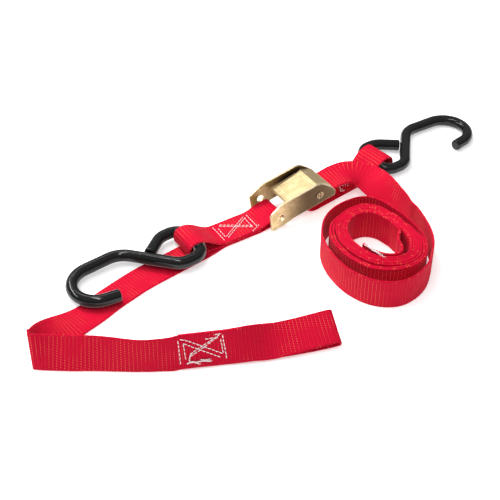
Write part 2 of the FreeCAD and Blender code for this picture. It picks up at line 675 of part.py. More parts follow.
# ------------------------------------------------------------------ hooks
# bent steel rod with a dipped vinyl coat. The rod's centreline lies in one plane and
# is drawn here from its open tip; the closing end of the eye butts on the shank.
def hook_runs(trim):
    # list of (kind, a, b, ...) in the hook's own u-v plane; u from the eye's end
    pos = Vector(77.7, -22.2, 0)
    heading = 8.0
    runs = []

    def line(length):
        nonlocal pos
        d = Vector(math.cos(math.radians(heading)), math.sin(math.radians(heading)), 0)
        q = pos + d * length
        runs.append(("line", Vector(pos), Vector(q)))
        pos = q

    def arc(radius, turn):
        nonlocal pos, heading
        side = 1 if turn > 0 else -1
        left = Vector(-math.sin(math.radians(heading)), math.cos(math.radians(heading)), 0) * side
        centre_point = pos + left * radius
        a0 = math.degrees(math.atan2(pos.y - centre_point.y, pos.x - centre_point.x))
        a1 = a0 + turn
        q = centre_point + Vector(math.cos(math.radians(a1)), math.sin(math.radians(a1)), 0) * radius
        runs.append(("arc", centre_point, radius, min(a0, a1), max(a0, a1)))
        pos = q
        heading += turn

    d0 = Vector(math.cos(math.radians(heading)), math.sin(math.radians(heading)), 0)
    pos = pos + d0 * trim
    line(11.0 - trim)
    arc(19.3, 169.0)
    line(20.5)
    arc(20.0, 51.0)
    s48 = math.sin(math.radians(48))
    c48 = math.cos(math.radians(48))
    drop = pos.y - (-18.49 + 14.0 * (1 - c48))
    shank_a = Vector(pos)
    line(drop / s48)
    arc(14.0, -48.0)
    line(pos.x - 12.4)
    arc(10.8, -66.4218)
    arc(30.0, -47.1564)
    arc(10.8, -66.4218)
    line(3.0)
    arc(16.0, -38.0)
    d = Vector(math.cos(math.radians(heading)), math.sin(math.radians(heading)), 0)
    nrm = Vector(-s48, c48, 0)
    dist = (pos - shank_a).dot(nrm)
    line((dist - (2 * dim("hook_coat_radius") / 2 + 0.35)) / -d.dot(nrm) - trim)
    return runs, d0


def hook_sketch(body, name, trim):
    # same path moved so that the full rod starts at the body's origin, along +x
    runs, d0 = hook_runs(trim)
    tip = Vector(77.7, -22.2, 0)
    ang = -8.0
    rot = Rotation(Vector(0, 0, 1), ang)
    sk = new_sketch(body, name, "XY_Plane")
    for run in runs:
        if run[0] == "line":
            a = rot.multVec(run[1] - tip)
            b = rot.multVec(run[2] - tip)
            sk.addGeometry(Part.LineSegment(a, b), False)
        else:
            c = rot.multVec(run[1] - tip)
            sk.addGeometry(Part.ArcOfCircle(Part.Circle(c, Vector(0, 0, 1), run[2]),
                                            math.radians(run[3] + ang), math.radians(run[4] + ang)), False)
    return sk


def pipe(body, kind, name, spine, profile_sketch):
    feature = body.newObject(kind, name)
    feature.Profile = profile_sketch
    feature.Spine = spine
    doc.recompute()
    return feature


def hook(core_name, coat_name, placement, base):
    core = new_body(core_name)
    spine = hook_sketch(core, core_name + "_path", dim("hook_cap") + 0.02)
    prof = new_sketch(core, core_name + "_section", "YZ_Plane",
                      Placement(Vector(0, 0, dim("hook_cap") + 0.02), Rotation()))
    add_circle(prof, 0, 0, "hook_core_radius")
    doc.recompute()
    pipe(core, "PartDesign::AdditivePipe", core_name + "_rod", spine, prof)
    coat = new_body(coat_name)
    spine = hook_sketch(coat, coat_name + "_path", 0.0)
    prof = new_sketch(coat, coat_name + "_section", "YZ_Plane")
    add_circle(prof, 0, 0, "hook_coat_radius")
    doc.recompute()
    pipe(coat, "PartDesign::AdditivePipe", coat_name + "_skin", spine, prof)
    rc = dim("hook_coat_radius")

    def end_rim(edge):
        return edge.Curve.TypeId == "Part::GeomCircle" and abs(edge.Curve.Radius - rc) < 1e-3 and \
            edge.Length > 6.0 * rc and any(
                f.Surface.TypeId == "Part::GeomPlane" and any(e.isSame(edge) for e in f.Edges)
                for f in coat.Tip.Shape.Faces)

    fillet_edges(coat, coat_name + "_end_round", end_rim, "hook_end_fillet")
    full = coat.Shape.Volume
    spine = hook_sketch(coat, coat_name + "_bore_path", dim("hook_cap"))
    prof = new_sketch(coat, coat_name + "_bore_section", "YZ_Plane",
                      Placement(Vector(0, 0, dim("hook_cap")), Rotation()))
    add_circle(prof, 0, 0, "hook_bore_radius")
    doc.recompute()
    pipe(coat, "PartDesign::SubtractivePipe", coat_name + "_bore", spine, prof)
    if coat.Shape.Volume > full - 100:
        raise RuntimeError("hook bore cuts nothing")
    for body in (core, coat):
        place(body, base[0], base[1], base[2], placement.Rotation)


# the tip's place and direction in the hook's frame
TIP = Placement(Vector(77.7, -22.2, 0), Rotation(Vector(0, 0, 1), 8.0))


def hook_frame(origin, pitch_deg, yaw_deg, flip):
    rot = Rotation(Vector(0, 0, 1), yaw_deg)
    if flip:
        # eye at the right, hook towards -x, and still drooping to its far end
        rot = rot.multiply(Rotation(Vector(0, 1, 0), -pitch_deg)).multiply(Rotation(Vector(0, 1, 0), 180))
    else:
        rot = rot.multiply(Rotation(Vector(0, 1, 0), pitch_deg))
    full = Placement(origin, rot).multiply(TIP)
    return full


def hook_base(full):
    return (repr(full.Base.x), repr(full.Base.y), repr(full.Base.z))


f1 = hook_frame(Vector(dim("hook_one_x"), 0.2, dim("hook_one_z")), dim("hook_one_pitch"), dim("hook_one_yaw"), True)
hook("hook_1_core", "hook_1_coating", f1, hook_base(f1))
f2 = hook_frame(Vector(dim("hook_two_x"), dim("hook_two_y"), dim("hook_two_z")),
                dim("hook_two_pitch"), dim("hook_two_yaw"), False)
hook("hook_2_core", "hook_2_coating", f2, hook_base(f2))

# ------------------------------------------------------------------ test and write
doc.recompute()
problems = []
for obj in doc.Objects:
    if "Invalid" in obj.State or "Error" in obj.State:
        problems.append("%s: %s" % (obj.Name, obj.State))
total = FreeCAD.BoundBox()
for body in bodies:
    shape = body.Shape
    if shape.isNull() or not shape.isValid():
        problems.append("%s: shape not valid" % body.Label)
        continue
    if not shape.Solids:
        problems.append("%s: no solid" % body.Label)
        continue
    total.add(shape.BoundBox)
    b = shape.BoundBox
    print("%-28s solids %d volume %9.1f  X %7.1f %7.1f  Y %7.1f %7.1f  Z %6.2f %6.2f" % (
        body.Label, len(shape.Solids), shape.Volume, b.XMin, b.XMax, b.YMin, b.YMax, b.ZMin, b.ZMax))
print("total X %.3f %.3f Y %.3f %.3f Z %.3f %.3f centre %.3f %.3f" % (
    total.XMin, total.XMax, total.YMin, total.YMax, total.ZMin, total.ZMax,
    (total.XMin + total.XMax) / 2, (total.YMin + total.YMax) / 2))
if problems:
    raise RuntimeError("; ".join(problems))
for body in bodies:
    body.Shape.exportStep("parts/%s.step" % body.Label)
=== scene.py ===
import math
import bpy
import numpy as np
from mathutils import Matrix, Vector


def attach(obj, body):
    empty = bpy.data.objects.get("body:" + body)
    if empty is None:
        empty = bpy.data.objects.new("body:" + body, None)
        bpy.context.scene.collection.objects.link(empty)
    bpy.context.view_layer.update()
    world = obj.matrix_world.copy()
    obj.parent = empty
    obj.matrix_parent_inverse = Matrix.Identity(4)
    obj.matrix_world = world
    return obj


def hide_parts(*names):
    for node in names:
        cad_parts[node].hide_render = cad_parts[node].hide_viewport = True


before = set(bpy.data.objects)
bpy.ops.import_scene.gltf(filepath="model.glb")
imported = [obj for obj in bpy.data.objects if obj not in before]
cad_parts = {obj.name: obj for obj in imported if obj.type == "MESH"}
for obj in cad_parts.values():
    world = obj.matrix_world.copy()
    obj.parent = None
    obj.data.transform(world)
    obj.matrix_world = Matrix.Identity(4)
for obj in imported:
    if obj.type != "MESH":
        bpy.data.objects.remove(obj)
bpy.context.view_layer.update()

SX, SY = -31.003, 56.884          # mm: from the buckle's own place to the row's frame
WW, WT = 25.4, 1.6                # webbing width and thickness, mm
scene = bpy.context.scene
rng = np.random.default_rng(7)


# ------------------------------------------------------------------ camera
def look(obj, eye, target):
    obj.location = eye
    obj.rotation_mode = "QUATERNION"
    obj.rotation_quaternion = (Vector(target) - Vector(eye)).to_track_quat("-Z", "Y")


cam_data = bpy.data.cameras.new("camera")
cam_data.sensor_width = 36.0
cam_data.sensor_fit = "HORIZONTAL"
cam_data.lens = 77.256
cam_data.shift_y = 0.0022
cam_data.clip_start = 0.01
cam_data.clip_end = 20.0
cam = bpy.data.objects.new("camera", cam_data)
scene.collection.objects.link(cam)
look(cam, (-0.38060, -0.50802, 0.5387), (-0.03100, 0.03038, 0.0))
scene.camera = cam
scene.view_settings.view_transform = "Standard"
scene.view_settings.look = "None"


# ------------------------------------------------------------------ small vector helpers
def vec(*p):
    return np.array(p, float)


def unit(v):
    v = np.asarray(v, float)
    return v / np.linalg.norm(v)


def slerp(a, b, f):
    a, b = unit(a), unit(b)
    ang = math.acos(max(-1.0, min(1.0, float(a.dot(b)))))
    if ang < 1e-6:
        return a
    return unit(a * (math.sin((1 - f) * ang) / math.sin(ang)) + b * (math.sin(f * ang) / math.sin(ang)))


TILT = math.radians(10.0)


def buckle_point(x, z):
    return (28.2 + x * math.cos(TILT) - z * math.sin(TILT), 0.2 + x * math.sin(TILT) + z * math.cos(TILT))


# ------------------------------------------------------------------ webbing paths
# each strap is one continuous band: centre points and the unit vector across its width
def edge_path(points, widths):
    mids = []
    n = len(points)
    for i in range(n):
        if i == 0:
            t = points[1] - points[0]
        elif i == n - 1:
            t = points[-1] - points[-2]
        else:
            t = unit(points[i + 1] - points[i]) + unit(points[i] - points[i - 1])
        w = unit(widths[i])
        nrm = unit(np.cross(w, unit(t)))
        corners = [points[i], points[i] + nrm * WT]
        low = min(c[2] for c in corners)
        lift = vec(0, 0, -low) if low < 0 else vec(0, 0, 0)
        mids.append((points[i] + nrm * (WT / 2) + w * (WW / 2) + lift, w))
    return mids


Y = vec(0, 1, 0)
short_keys = []
for x, z in [(19.6, 2.4), (8, 2.4), (-4, 2.4), (-16, 2.4), (-28, 2.4), (-38, 2.4), (-42.3, 2.5), (-44.5, 3.4), (-45.35, 5.3),
             (-45.4, 8.8), (-44.6, 12.3), (-42.2, 14.7), (-38.4, 15.55), (-34.2, 14.9), (-28.9, 12.2), (-23.6, 8.6),
             (-19.0, 5.7), (-15.6, 4.45), (-12, 4.02), (-4, 4.0), (6, 4.0), (15, 4.0), (20.0, 4.15), (24.9, 5.5), (29.6, 7.3), (34.6, 8.35),
             (39.6, 9.05), (41.7, 8.75), (42.4, 7.4), (41.9, 5.8), (40.4, 4.65), (35.5, 3.6), (30.8, 2.7), (25.0, 1.5),
             (20.0, 0.85), (10, 0.8), (-2, 0.8), (-14, 0.8)]:
    short_keys.append((vec(x, 0, z), Y))
LEG = [(-31, -3.5), (-50, -6), (-70, -8.2), (-90, -11), (-105, -14.5), (-120, -18.5), (-135, -23.5)]
full = [vec(-14, 0, 0)] + [vec(x, y, 0) for x, y in LEG]
for i in range(1, len(full) - 1):
    t = unit(full[i + 1] - full[i - 1])
    short_keys.append((full[i] + vec(0, 0, 0.8), vec(t[1], -t[0], 0)))
t_end = unit(full[-1] - full[-2])
w0 = vec(t_end[1], -t_end[0], 0)
near = full[-1] - w0 * (WW / 2)
W_TURN = unit(vec(.16, .47, .87))
pts, wds = [], []
N = 9
for i in range(N + 1):
    f = i / N
    pts.append(vec(near[0] + (-192.75 - near[0]) * f, near[1] + (-48.3 - near[1]) * f - 1.2 * math.sin(math.pi * f), 0))
    wds.append(slerp(w0, W_TURN, f ** 1.6))
cx, cy, rr = -191.9, -50.9, 3.1
for a in (122, 148, 175, 202, 229):
    pts.append(vec(cx + rr * math.cos(math.radians(a)), cy + rr * math.sin(math.radians(a)), 0))
    wds.append(W_TURN)
# lowest line x and y, lean, shift across, gap to the return layer, how far it sits behind
FRONT = [(-187.8, -57.4, 40, 0, 0, 0), (-183.3, -60.8, 38, 0, 0, 0), (-172.0, -68.8, 36, 0, 0, 0),
         (-160.5, -76.4, 31, 0, 0, 0), (-151.5, -82.9, 25, 0, 0, 0), (-142.5, -89.3, 18, 0, 0, 0),
         (-133.3, -95.4, 14, 0, 0, 0), (-123.9, -101.1, 16, 0, 0, 0), (-114.4, -106.6, 22, 0, 0, 0),
         (-110.0, -108.6, 24, 0, 0, 0.05), (-80.0, -121.9, 24, 0, 0, 0.05),
         (-73.7, -124.7, 27, 0, 0.25, 0.1), (-63.3, -129.1, 38, 0.1, 0.6, 0.1),
         (-52.8, -133.4, 50, 0.2, 1.1, 0.1), (-42.1, -137.5, 58, 0.5, 2.1, 0.1),
         (-31.2, -141.3, 62, 1.0, 3.2, 0.1), (-20, -145, 63, 1.6, 4.0, 0.1), (-6.2, -148.9, 62, 2.0, 4.3, 0.1)]
PATCH = (9, 10)
fl = [vec(x, y, 0) for x, y, *_ in FRONT]
turn_keys = edge_path(pts + [fl[0]], wds + [W_TURN])[:-1]
short_keys += turn_keys
outer_mid, back_mid = [], []
for i, (x, y, degrees, shift, gap, behind) in enumerate(FRONT):
    a = fl[i - 1] if i else fl[i]
    b = fl[i + 1] if i + 1 < len(FRONT) else fl[i]
    if i in PATCH:
        a, b = fl[PATCH[0]], fl[PATCH[1]]
    t = unit(b - a)
    bk = vec(-t[1], t[0], 0)
    ar = math.radians(degrees)
    w = unit(bk * math.sin(ar) + vec(0, 0, 1) * math.cos(ar))
    if i == 0:
        w = slerp(W_TURN, w, 0.6)
    n = unit(np.cross(w, t))
    k = min(1.0, max(0.0, (degrees - 20) / 25))
    low = fl[i] - n * (WT * k)
    p0 = low + w * shift - n * gap
    q0 = low + n * (WT + behind)
    lift_p = max(0.0, -min(p0[2], (p0 + n * WT)[2]))
    lift_q = max(0.0, -min(q0[2], (q0 + n * WT)[2]))
    if i >= PATCH[0]:
        both = max(lift_p, lift_q) if i <= 12 else None
        if both is not None:
            lift_p = lift_q = both
    outer_mid.append((p0 + n * (WT / 2) + w * (WW / 2) + vec(0, 0, lift_p), w))
    back_mid.append((q0 + n * (WT / 2) + w * (WW / 2) + vec(0, 0, lift_q), w))
short_keys += outer_mid
t_last = unit(fl[-1] - fl[-2])
m0, m1 = outer_mid[-1][0], back_mid[-1][0]
w_last = outer_mid[-1][1]
ctr, hg = (m0 + m1) / 2, (m1 - m0) / 2
rad = float(np.linalg.norm(hg))
for a in (-62, -30, 0, 30, 62):
    ar = math.radians(a)
    short_keys.append((ctr + hg * math.sin(ar) + t_last * (rad * 1.25 * math.cos(ar)), w_last))
for i in range(len(FRONT) - 1, PATCH[0] - 1, -1):
    short_keys.append(back_mid[i])
# where the first measured stitch plane lies, and the sewn patch's own face
PATCH_O, PATCH_U = vec(-111, -106.6, 0), unit(vec(30.5, -11.9, 0))
_b = vec(-PATCH_U[1], PATCH_U[0], 0)
PATCH_W = unit(_b * math.sin(math.radians(7.5)) + vec(0, 0, 1) * math.cos(math.radians(7.5)))
PATCH_N = unit(np.cross(PATCH_W, PATCH_U))
FACE_U = unit(fl[PATCH[1]] - fl[PATCH[0]])
FACE_W = outer_mid[PATCH[0]][1]
FACE_N = unit(np.cross(FACE_W, FACE_U))
FACE_P = outer_mid[PATCH[0]][0] - FACE_N * (WT / 2)

# ---- long strap
YAW = math.radians(7.3)
ca, sa = math.cos(YAW), math.sin(YAW)


def q_point(q, v, z):
    return vec(72 + q * ca - v * sa, q * sa + v * ca, z)


W_Q = vec(-sa, ca, 0)
long_keys = []
for q, z in [(31.4, 2.4), (40, 2.4), (50, 2.4), (58, 2.4), (61.4, 2.7), (64.2, 4.2), (67.2, 7.1), (70.6, 10.7), (75.4, 13.6), (80.8, 14.6),
             (84.8, 14.0), (87.6, 11.9), (88.6, 8.8), (88.6, 4.0), (87.9, 1.8), (85.9, 0.8), (82, .8), (72, .8), (61, .8), (48, .8),
             (34, .8), (20, .8), (8, .8)]:
    long_keys.append((q_point(q, 0, z), W_Q))
for x, z in [(72, .85), (68.85, 1.55), (66.1, 3.15), (63.95, 5.45), (63.0, 7.6), (63.15, 9.05), (63.8, 9.95), (64.96, 10.45)]:
    long_keys.append((vec(x, 0, z), Y))
for x in (41, 46, 51, 56, 60):
    bx, bz = buckle_point(x, 3.82)
    long_keys.append((vec(bx, 0, bz), Y))
TAIL = [((88.6, -12.7, 14.71), (88.6, 12.7, 14.71)),
        ((95.5, -12.7, 15.9), (95.6, 12.7, 16.1)),
        ((102.3, -12.7, 15.9), (104.5, 12.4, 17.6)),
        ((107.5, -12.9, 14.6), (117.5, 9.5, 18.6)),
        ((110.6, -13.4, 12.4), (129.5, 1.2, 18.0)),
        ((113.0, -15.0, 9.8), (136.3, -10.5, 18.0)),
        ((115.4, -19.0, 7.4), (135.7, -20.5, 19.9)),
        ((118.2, -27.5, 4.6), (133.0, -30.5, 22.2)),
        ((121.4, -38.0, 2.2), (130.9, -40.5, 24.2)),
        ((123.6, -50.0, 0.7), (128.6, -51.2, 25.2)),
        ((124.2, -60.5, 0.15), (126.6, -61.0, 25.4)),
        ((123.6, -70.0, 0.0), (123.6, -70.0, 25.4))]
for a, b in TAIL:
    a, b = vec(*a), vec(*b)
    w = unit(b - a)
    m = (a + b) / 2
    m[2] = max(m[2], abs(w[2]) * WW / 2 + 0.05)
    long_keys.append((m, w))
UP = vec(0, 0, 1)
OUTER = [(122.9, -78), (119.6, -90), (114.6, -103.5), (107.6, -115.5), (97.3, -126), (85.4, -134.8), (71.8, -139.4),
         (59.4, -139.6), (48.9, -134.9), (40.2, -125.6), (35.2, -114.3), (33.1, -102.9), (33.3, -91.2),
         (35.4, -78.5), (41.2, -64), (50.4, -52.8), (59.9, -45.9), (70, -42.2), (81.3, -41.0), (91.6, -42.2),
         (99.6, -46.6), (104.8, -56), (107.4, -70), (108.0, -82), (107.6, -94), (106.2, -104)]
for x, y in OUTER:
    long_keys.append((vec(x, y, WW / 2), UP))
ROLL = [(103.2, -112.6), (98.4, -120.0), (89.3, -128.6), (79.5, -131.6), (68.5, -130.5), (56.0, -125.2), (47.0, -116.6), (42.6, -106.0),
        (39.9, -88.0), (42.9, -70.8), (52.6, -57.2), (67.6, -51.6), (80.7, -48.9), (89.7, -50.1), (97.6, -56.7),
        (101.8, -69.0), (103.6, -85.6), (103.6, -100.0)]
HOLE = [(67.6, -65.1), (63.9, -68.3), (61.9, -72.6), (61.0, -80.2), (61.4, -92.2), (63.6, -101.7), (69.3, -109.8),
        (74.9, -113.4), (81.5, -113.2), (87.6, -107.5), (91.6, -97.4), (92.6, -86.9), (92.2, -77.5), (89.9, -68.2),
        (84.3, -62.6), (73.9, -61.6)]
CC = np.array([77.0, -89.0])


def polar(poly):
    p = np.array(poly) - CC
    th = np.arctan2(p[:, 1], p[:, 0])
    r = np.hypot(p[:, 0], p[:, 1])
    o = np.argsort(th)
    th, r = th[o], r[o]
    th = np.concatenate([th[-3:] - 2 * math.pi, th, th[:3] + 2 * math.pi])
    r = np.concatenate([r[-3:], r, r[:3]])
    return th, r


def radius_at(table, a):
    a = (a + math.pi) % (2 * math.pi) - math.pi
    return float(np.interp(a, table[0], table[1]))


t_roll, t_hole = polar(ROLL), polar(HOLE)
TURNS = 7.37
a0 = math.atan2(-112.6 + 89.0, 103.2 - 77.0)
steps = int(TURNS * 44)
coil_first = len(long_keys)


def bell(a, centre, half):
    d = (a - centre + math.pi) % (2 * math.pi) - math.pi
    return math.exp(-(d / half) ** 2)


for k in range(1, steps + 1):
    f = k / steps
    a = a0 - 2 * math.pi * TURNS * f
    ro = radius_at(t_roll, a) - 0.85
    ri = radius_at(t_hole, a) + 0.85
    room = ro - ri
    turn = TURNS * f
    # thickness taken by each turn here; what is left opens between the second and third turns
    # and outside the last one
    pitch = min(room / TURNS, 1.98)
    spare = max(0.0, room - pitch * TURNS)
    step1 = 1 / (1 + math.exp(-(turn - 1.55) / 0.10))
    step2 = 1 / (1 + math.exp(-(turn - 6.93) / 0.08))
    r = ro - pitch * turn - spare * (0.40 * step1 + 0.60 * step2)
    # the last turn stands off the pack at the right
    inner = max(0.0, min(1.0, (turn - 6.6) / 0.2))
    r -= 7.6 * inner * bell(a, math.radians(-54), math.radians(29))
    dz = 0.22 * math.sin(2.3 * turn + 0.6) * min(1, 6 * f)
    long_keys.append((vec(CC[0] + r * math.cos(a), CC[1] + r * math.sin(a), WW / 2 + 0.35 + dz), UP))


def catmull(keys, step=0.7):
    c = np.array([k[0] for k in keys])
    w = np.array([k[1] for k in keys])
    c = np.vstack([2 * c[0] - c[1], c, 2 * c[-1] - c[-2]])
    w = np.vstack([w[0], w, w[-1]])
    out_c, out_w = [], []
    for i in range(1, len(c) - 2):
        p0, p1, p2, p3 = c[i - 1], c[i], c[i + 1], c[i + 2]
        t0 = 0.0
        t1 = t0 + max(1e-6, np.linalg.norm(p1 - p0)) ** 0.5
        t2 = t1 + max(1e-6, np.linalg.norm(p2 - p1)) ** 0.5
        t3 = t2 + max(1e-6, np.linalg.norm(p3 - p2)) ** 0.5
        n = max(2, int(np.linalg.norm(p2 - p1) / step))
        for k in range(n):
            f = k / n
            t = t1 + (t2 - t1) * f
            a1 = (t1 - t) / (t1 - t0) * p0 + (t - t0) / (t1 - t0) * p1
            a2 = (t2 - t) / (t2 - t1) * p1 + (t - t1) / (t2 - t1) * p2
            a3 = (t3 - t) / (t3 - t2) * p2 + (t - t2) / (t3 - t2) * p3
            b1 = (t2 - t) / (t2 - t0) * a1 + (t - t0) / (t2 - t0) * a2
            b2 = (t3 - t) / (t3 - t1) * a2 + (t - t1) / (t3 - t1) * a3
            out_c.append((t2 - t) / (t2 - t1) * b1 + (t - t1) / (t2 - t1) * b2)
            g = f * f * (3 - 2 * f)
            out_w.append(slerp(w[i], w[i + 1], g))
    out_c.append(c[-2])
    out_w.append(w[-2])
    return np.array(out_c), np.array(out_w)


def resample(c, w, ds):
    seg = np.linalg.norm(np.diff(c, axis=0), axis=1)
    s = np.concatenate([[0], np.cumsum(seg)])
    n = int(s[-1] / ds) + 1
    t = np.linspace(0, s[-1], n)
    c2 = np.stack([np.interp(t, s, c[:, k]) for k in range(3)], 1)
    w2 = np.stack([np.interp(t, s, w[:, k]) for k in range(3)], 1)
    w2 /= np.linalg.norm(w2, axis=1)[:, None]
    return c2, w2, t


def gauss(a, sigma):
    k = int(3 * sigma) + 1
    x = np.arange(-k, k + 1)
    g = np.exp(-x * x / (2 * sigma * sigma))
    g /= g.sum()
    pad = np.vstack([2 * a[0] - a[k:0:-1], a, 2 * a[-1] - a[-2:-k - 2:-1]])
    return np.stack([np.convolve(pad[:, j], g, mode="valid") for j in range(a.shape[1])], 1)


def outward(me):
    # every closed mesh gets outward faces
    nv = len(me.vertices)
    co = np.zeros(nv * 3, dtype=np.float64)
    me.vertices.foreach_get("co", co)
    co = co.reshape(-1, 3)
    vol = 0.0
    for pl in me.polygons:
        vs = list(pl.vertices)
        a_ = co[vs[0]]
        for k in range(1, len(vs) - 1):
            vol += float(np.dot(a_, np.cross(co[vs[k]], co[vs[k + 1]])))
    if vol < 0:
        me.flip_normals()
        me.update()


DS = 0.35


def band(keys, soft=1.1):
    c, w = catmull(keys)
    c, w, _ = resample(c, w, DS)
    c = gauss(c, soft / DS)
    w = gauss(w, 2.5 / DS)
    c, w, s = resample(c, w, DS)
    t = np.gradient(c, axis=0)
    t /= np.linalg.norm(t, axis=1)[:, None]
    # the rulings may run askew where the band folds on a slant; its true width stays the same
    d = (w * t).sum(1)
    n = np.cross(w, t)
    n /= np.linalg.norm(n, axis=1)[:, None]
    w = w / np.sqrt(np.clip(1 - d * d, 0.78, 1.0))[:, None]
    return c, w, n, t, s


RIB = 1.4
# half section: across, half thickness
ACROSS = np.array([-12.25, -11.7, -10.2, -7.7, -5.1, -2.6, 0.0, 2.6, 5.1, 7.7, 10.2, 11.7, 12.25])
EDGE = [(12.55, 0.42), (12.68, 0.0), (12.55, -0.42)]


def band_mesh(name, data, material, half=0.70, rib=0.10, full_from=None, full=0.93):
    c, w, n, t, s = data
    m = len(s)
    ph = np.cos(2 * math.pi * s / RIB)
    ridge = rib * (0.35 + 0.65 * ph)
    body = np.full(m, half)
    if full_from is not None:
        # inside the coil the soft webbing fills the room between turns
        g_ = np.clip((s - full_from) / 60.0, 0, 1)
        body = half + (full - half) * g_ * g_ * (3 - 2 * g_)
    k = len(ACROSS)
    cols_a, cols_b, cols_u = [], [], []
    fade = np.clip((12.4 - np.abs(ACROSS)) / 0.9, 0.25, 1.0)
    # slow unevenness along the band, computed here but not applied to it
    wob = 0.05 * np.sin(s / 17.0 + 0.5) + 0.04 * np.sin(s / 7.3)
    for j in range(k):
        cols_a.append(np.full(m, ACROSS[j]))
        cols_b.append(body * (1.0 if abs(ACROSS[j]) < 11.8 else 0.95) + ridge * fade[j])
        cols_u.append(np.full(m, ACROSS[j] + 12.7))
    side = 0.06 * np.cos(2 * math.pi * s / RIB + math.pi)
    for a, b in EDGE:
        cols_a.append(a + side)
        cols_b.append(b * body / half)
        cols_u.append(np.full(m, 25.4 + (0.42 - b) * 0.6))
    for j in range(k - 1, -1, -1):
        cols_a.append(np.full(m, ACROSS[j]))
        cols_b.append(-(body * (1.0 if abs(ACROSS[j]) < 11.8 else 0.95) + rib * (0.35 - 0.65 * ph) * fade[j]))
        cols_u.append(np.full(m, ACROSS[j] + 12.7))
    for a, b in EDGE:
        cols_a.append(-a - side)
        cols_b.append(-b * body / half)
        cols_u.append(np.full(m, -(0.42 + b) * 0.6))
    A = np.stack(cols_a, 1)
    B = np.stack(cols_b, 1)
    U = np.stack(cols_u, 1)
    q = A.shape[1]
    P = c[:, None, :] + w[:, None, :] * A[:, :, None] + n[:, None, :] * B[:, :, None]
    P[:, :, 0] += SX
    P[:, :, 1] += SY
    P[:, :, 2] = np.maximum(P[:, :, 2], 0.02)
    verts = (P.reshape(-1, 3) * 0.001)
    i = np.arange(m - 1)[:, None] * q
    j = np.arange(q)[None, :]
    j2 = (j + 1) % q
    quads = np.stack([i + j, i + j2, i + q + j2, i + q + j], -1).reshape(-1, 4)
    faces = quads.tolist()
    faces.append(list(range(q - 1, -1, -1)))
    faces.append([(m - 1) * q + x for x in range(q)])
    me = bpy.data.meshes.new(name)
    me.from_pydata(verts.tolist(), [], faces)
    uv = me.uv_layers.new(name="band")
    vi = np.zeros(len(me.loops), dtype=np.int32)
    me.loops.foreach_get("vertex_index", vi)
    uu = U.reshape(-1)[vi]
    vv = np.repeat(s, q)[vi]
    uv.data.foreach_set("uv", np.stack([uu, vv], 1).astype(np.float32).reshape(-1))
    me.polygons.foreach_set("use_smooth", np.ones(len(me.polygons), dtype=bool))
    me.materials.append(material)
    me.update()
    me.validate()
    outward(me)
    obj = bpy.data.objects.new(name, me)
    scene.collection.objects.link(obj)
    return obj


# ------------------------------------------------------------------ materials
class Nodes:
    def __init__(self, name):
        self.mat = bpy.data.materials.new(name)
        self.mat.use_nodes = True
        self.tree = self.mat.node_tree
        self.tree.nodes.clear()
        self.out = self.tree.nodes.new("ShaderNodeOutputMaterial")
        self.bsdf = self.tree.nodes.new("ShaderNodeBsdfPrincipled")
        self.link(self.bsdf.outputs[0], self.out.inputs["Surface"])

    def link(self, a, b):
        self.tree.links.new(a, b)

    def put(self, sock, v):
        if isinstance(v, (int, float)):
            sock.default_value = v
        elif isinstance(v, (tuple, list)):
            sock.default_value = v
        else:
            self.link(v, sock)

    def math(self, op, a, b=0.0, c=None, clamp=False):
        n = self.tree.nodes.new("ShaderNodeMath")
        n.operation = op
        n.use_clamp = clamp
        self.put(n.inputs[0], a)
        self.put(n.inputs[1], b)
        if c is not None:
            self.put(n.inputs[2], c)
        return n.outputs[0]

    def mix(self, f, a, b):
        n = self.tree.nodes.new("ShaderNodeMix")
        n.data_type = "RGBA"
        self.put(n.inputs[0], f)
        self.put(n.inputs[6], a)
        self.put(n.inputs[7], b)
        return n.outputs[2]

    def noise(self, vector, scale, detail=2.0, rough=0.5):
        n = self.tree.nodes.new("ShaderNodeTexNoise")
        if vector is not None:
            self.link(vector, n.inputs["Vector"])
        n.inputs["Scale"].default_value = scale
        n.inputs["Detail"].default_value = detail
        n.inputs["Roughness"].default_value = rough
        return n.outputs["Fac"]

    def ramp(self, f, a, b, x=0.0, y=1.0):
        n = self.tree.nodes.new("ShaderNodeMapRange")
        n.interpolation_type = "SMOOTHSTEP"
        self.put(n.inputs["Value"], f)
        n.inputs["From Min"].default_value = a
        n.inputs["From Max"].default_value = b
        n.inputs["To Min"].default_value = x
        n.inputs["To Max"].default_value = y
        return n.outputs["Result"]

    def bump(self, height, distance, strength=1.0, normal=None):
        n = self.tree.nodes.new("ShaderNodeBump")
        n.inputs["Strength"].default_value = strength
        n.inputs["Distance"].default_value = distance
        self.link(height, n.inputs["Height"])
        if normal is not None:
            self.link(normal, n.inputs["Normal"])
        return n.outputs["Normal"]

    def coords(self, kind="Object"):
        n = self.tree.nodes.new("ShaderNodeTexCoord")
        return n.outputs[kind]

    def set(self, **kw):
        for k, v in kw.items():
            self.put(self.bsdf.inputs[k.replace("_", " ")], v)


